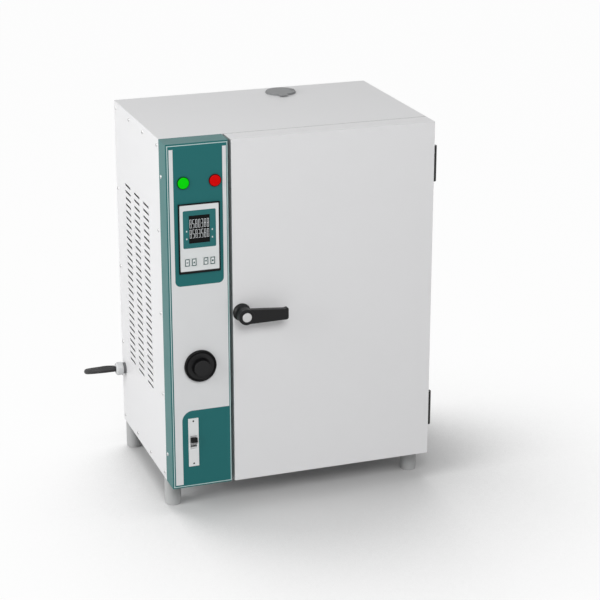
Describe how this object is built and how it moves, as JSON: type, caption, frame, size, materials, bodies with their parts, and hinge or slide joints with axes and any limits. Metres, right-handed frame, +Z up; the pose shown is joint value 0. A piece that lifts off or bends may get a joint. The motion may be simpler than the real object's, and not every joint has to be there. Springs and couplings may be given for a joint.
{
  "type": "heating oven",
  "caption": "Laboratory heating oven with an insulated chamber, side-hung door with lever handle, control housing with digital controller, roof vent and mains lead.",
  "frame": {"origin": "centre of the footprint of the oven, without its free lead, on the surface that it stands on", "axes": "+Z up, front with the door faces -Y, +X to the right seen from the front"},
  "size_m": [0.55, 0.5123, 0.6548],
  "materials": {
    "case_paint": "smooth powder coat, light grey",
    "galvanised": "zinc plated",
    "stainless": "brushed stainless",
    "glass_wool": "glass wool slab",
    "heater_sheath": "oxidised tube",
    "teal_paint": "satin powder coat",
    "fascia_print": "printed polyester sheet",
    "green_lens": "lit lens",
    "red_lens": "lit lens",
    "black_plastic": "satin moulding",
    "white_plastic": "satin moulding",
    "display": "smoked window",
    "grey_plastic": "moulded",
    "vent_metal": "grey enamel",
    "foot_paint": "light grey",
    "plated_steel": "nickel plated",
    "black_metal": "black powder coat",
    "gasket_rubber": "silicone",
    "cord_rubber": "black sheath"
  },
  "bodies": {
    "casing": {"left_side_panel": "case_paint", "right_side_panel": "case_paint", "top_panel": "case_paint", "back_panel": "case_paint", "base_panel": "case_paint", "corner_posts": "galvanised", "front_frame": "stainless", "partition_panel": "galvanised", "chamber_floor": "stainless", "chamber_roof": "stainless", "chamber_left_wall": "stainless", "chamber_right_wall": "stainless", "chamber_back_wall": "stainless", "insulation_slabs": "glass_wool", "shelf_rails": "stainless", "upper_shelf": "stainless", "lower_shelf": "stainless", "heater_element": "heater_sheath", "heater_brackets": "stainless", "temperature_probe": "stainless", "control_housing": "teal_paint", "control_fascia": "fascia_print", "heater_lamp": "green_lens", "power_lamp": "red_lens", "controller_case": "black_plastic", "controller_face": "white_plastic", "display_window": "display", "thermostat_body": "black_plastic", "breaker_plate": "white_plastic", "breaker_body": "grey_plastic", "terminal_block": "grey_plastic", "vent_base": "vent_metal", "vent_pipe": "stainless", "support_feet": "foot_paint", "case_screws": "plated_steel", "hinge_case_leaves": "black_metal", "hinge_pins": "plated_steel", "latch_strike": "stainless", "cable_gland": "grey_plastic", "cord_run": "cord_rubber", "cord_coil": "cord_rubber", "cord_tail": "cord_rubber", "mains_plug": "black_plastic"},
    "door": {"door_shell": "case_paint", "door_inner_panel": "stainless", "door_insulation": "glass_wool", "door_gasket": "gasket_rubber", "handle_rosette": "black_plastic", "hinge_door_leaves": "black_metal"},
    "handle": {"handle_lever": "black_plastic", "lever_cap": "plated_steel", "latch_spindle": "plated_steel"},
    "thermostat_dial": {"thermostat_knob": "black_plastic"},
    "breaker_switch": {"breaker_toggle": "black_plastic"},
    "damper": {"vent_damper": "vent_metal"},
    "key_body_1": {"key_1": "white_plastic"},
    "key_body_2": {"key_2": "white_plastic"},
    "key_body_3": {"key_3": "white_plastic"},
    "key_body_4": {"key_4": "white_plastic"}
  },
  "joints": [
    {"name": "door_hinge", "type": "hinge", "parent": "casing", "child": "door", "pos_m": [0.236, -0.11625, 0.35], "axis": [0, 0, 1], "range_deg": [0, 170]},
    {"name": "handle_turn", "type": "hinge", "parent": "door", "child": "handle", "pos_m": [-0.1168, -0.15025, 0.354], "axis": [0, 1, 0], "range_deg": [0, 90]},
    {"name": "thermostat_turn", "type": "hinge", "parent": "casing", "child": "thermostat_dial", "pos_m": [-0.1904, -0.15085, 0.2687], "axis": [0, 1, 0], "range_deg": [0, 300]},
    {"name": "breaker_flip", "type": "hinge", "parent": "casing", "child": "breaker_switch", "pos_m": [-0.2043, -0.14335, 0.132], "axis": [1, 0, 0], "range_deg": [0, 46]},
    {"name": "vent_turn", "type": "hinge", "parent": "casing", "child": "damper", "pos_m": [0.0719, 0.13775, 0.65], "axis": [0, 0, 1], "range_deg": [0, 130]},
    {"name": "key_press_1", "type": "slide", "parent": "casing", "child": "key_body_1", "axis": [0, 1, 0], "range_m": [0, 0.0008], "stiffness_N_per_m": 400, "springref_m": -0.0002},
    {"name": "key_press_2", "type": "slide", "parent": "casing", "child": "key_body_2", "axis": [0, 1, 0], "range_m": [0, 0.0008], "stiffness_N_per_m": 400, "springref_m": -0.0002},
    {"name": "key_press_3", "type": "slide", "parent": "casing", "child": "key_body_3", "axis": [0, 1, 0], "range_m": [0, 0.0008], "stiffness_N_per_m": 400, "springref_m": -0.0002},
    {"name": "key_press_4", "type": "slide", "parent": "casing", "child": "key_body_4", "axis": [0, 1, 0], "range_m": [0, 0.0008], "stiffness_N_per_m": 400, "springref_m": -0.0002}
  ]
}
